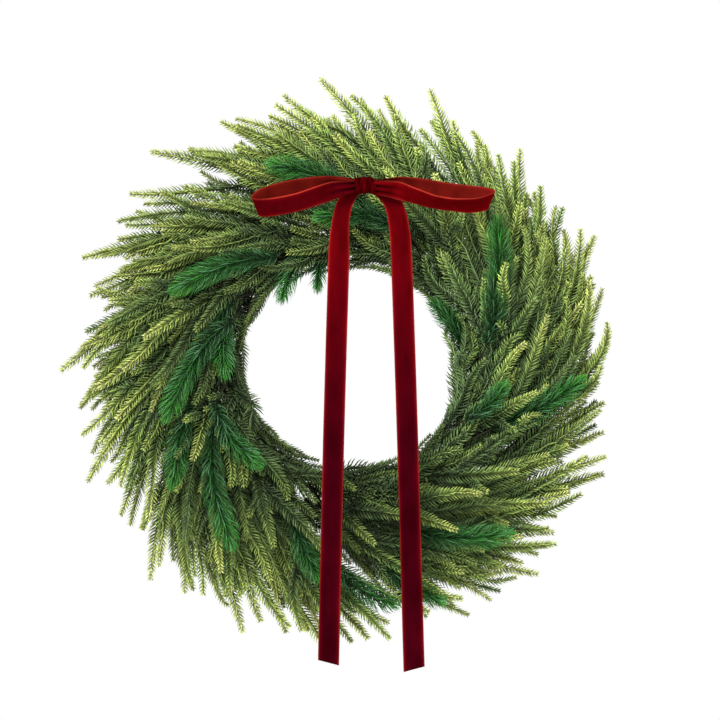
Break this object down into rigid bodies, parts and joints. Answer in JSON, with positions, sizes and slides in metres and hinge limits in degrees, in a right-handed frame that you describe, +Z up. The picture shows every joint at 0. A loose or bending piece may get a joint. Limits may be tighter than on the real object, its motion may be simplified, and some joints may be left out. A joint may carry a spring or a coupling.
{
  "type": "christmas wreath",
  "caption": "Artificial evergreen wreath: pine and fir sprays swirled round a taped wire ring, with a velvet ribbon bow whose long tails hang across the open middle.",
  "frame": {"origin": "centre of the flat facet under the top of the wire ring, where a door hook carries the wreath", "axes": "+Z up as it hangs, +X to the right as seen from the front, -Y towards the viewer; the back faces +Y"},
  "size_m": [0.6081, 0.1425, 0.6508],
  "materials": {
    "pine_green": "matte moulded plastic, light yellow-green tips, dark grey-green roots",
    "fir_green": "matte moulded plastic, vivid green",
    "velvet_red": "velvet ribbon with woven edges",
    "frame_brown": "wire wound with brown paper tape",
    "tie_wire": "thin green lacquered wire"
  },
  "bodies": {
    "root": {"bow_knot": "velvet_red", "bow_loop_left": "velvet_red", "bow_loop_right": "velvet_red", "bow_tie_wire": "tie_wire", "fir_spray_01": "fir_green", "fir_spray_02": "fir_green", "fir_spray_03": "fir_green", "fir_spray_04": "fir_green", "fir_spray_05": "fir_green", "fir_spray_06": "fir_green", "fir_spray_07": "fir_green", "fir_spray_08": "fir_green", "fir_spray_09": "fir_green", "fir_spray_10": "fir_green", "fir_spray_11": "fir_green", "fir_spray_12": "fir_green", "frame_ring": "frame_brown", "pine_branch_front_01": "pine_green", "pine_branch_front_02": "pine_green", "pine_branch_front_03": "pine_green", "pine_branch_front_04": "pine_green", "pine_branch_front_05": "pine_green", "pine_branch_front_06": "pine_green", "pine_branch_front_07": "pine_green", "pine_branch_front_08": "pine_green", "pine_branch_front_09": "pine_green", "pine_branch_front_10": "pine_green", "pine_branch_inner_01": "pine_green", "pine_branch_inner_02": "pine_green", "pine_branch_inner_03": "pine_green", "pine_branch_inner_04": "pine_green", "pine_branch_middle_01": "pine_green", "pine_branch_middle_02": "pine_green", "pine_branch_middle_03": "pine_green", "pine_branch_middle_04": "pine_green", "pine_branch_middle_05": "pine_green", "pine_branch_middle_06": "pine_green", "pine_branch_middle_07": "pine_green", "pine_branch_middle_08": "pine_green", "pine_branch_middle_09": "pine_green", "pine_branch_middle_10": "pine_green", "pine_branch_middle_11": "pine_green", "pine_branch_outer_01": "pine_green", "pine_branch_outer_02": "pine_green", "pine_branch_outer_03": "pine_green", "pine_branch_outer_04": "pine_green", "pine_branch_outer_05": "pine_green", "pine_branch_outer_06": "pine_green", "pine_branch_outer_07": "pine_green", "pine_branch_outer_08": "pine_green", "pine_branch_outer_09": "pine_green", "pine_branch_outer_10": "pine_green", "pine_branch_outer_11": "pine_green", "pine_branch_outer_12": "pine_green", "pine_branch_outer_13": "pine_green", "pine_branch_outer_14": "pine_green", "pine_branch_outer_15": "pine_green", "ribbon_tail_left": "velvet_red", "ribbon_tail_right": "velvet_red"}
  },
  "joints": []
}
